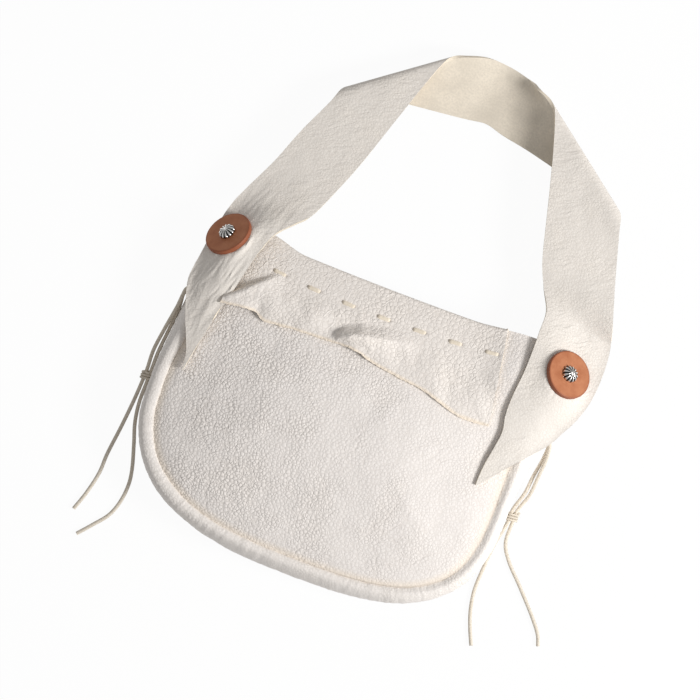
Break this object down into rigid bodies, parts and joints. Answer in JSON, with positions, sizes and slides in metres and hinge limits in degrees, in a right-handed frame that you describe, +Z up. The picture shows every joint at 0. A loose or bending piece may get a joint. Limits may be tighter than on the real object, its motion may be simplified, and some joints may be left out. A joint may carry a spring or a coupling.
{
  "type": "leather shoulder bag",
  "caption": "Soft leather shoulder bag lying on its back, with a wide folded strap, laced mouth facing, tan rosettes with fluted conches, and lace fringe at its sides.",
  "frame": {"origin": "centre of the back panel's outer face, on the surface that the bag lies on", "axes": "+X to the right across the bag as seen from its front, +Y from the bottom toward the mouth, +Z up out of the front panel"},
  "size_m": [0.3846, 0.4688, 0.0583],
  "materials": {
    "cream_leather": "pebbled, soft, matt",
    "pale_lace": "raw cut edges, matt",
    "tan_leather": "smooth, burnished edge",
    "silver": "polished, fluted"
  },
  "bodies": {
    "root": {"back_panel": "cream_leather", "gusset": "cream_leather", "front_panel": "cream_leather", "mouth_facing": "cream_leather", "facing_lacing": "pale_lace", "strap": "cream_leather", "left_rosette": "tan_leather", "right_rosette": "tan_leather", "left_conch": "silver", "right_conch": "silver", "left_conch_screw": "silver", "right_conch_screw": "silver", "left_lace_front": "pale_lace", "left_lace_back": "pale_lace", "left_lace_knot": "pale_lace", "right_lace_front": "pale_lace", "right_lace_back": "pale_lace", "right_lace_knot": "pale_lace"}
  },
  "joints": []
}
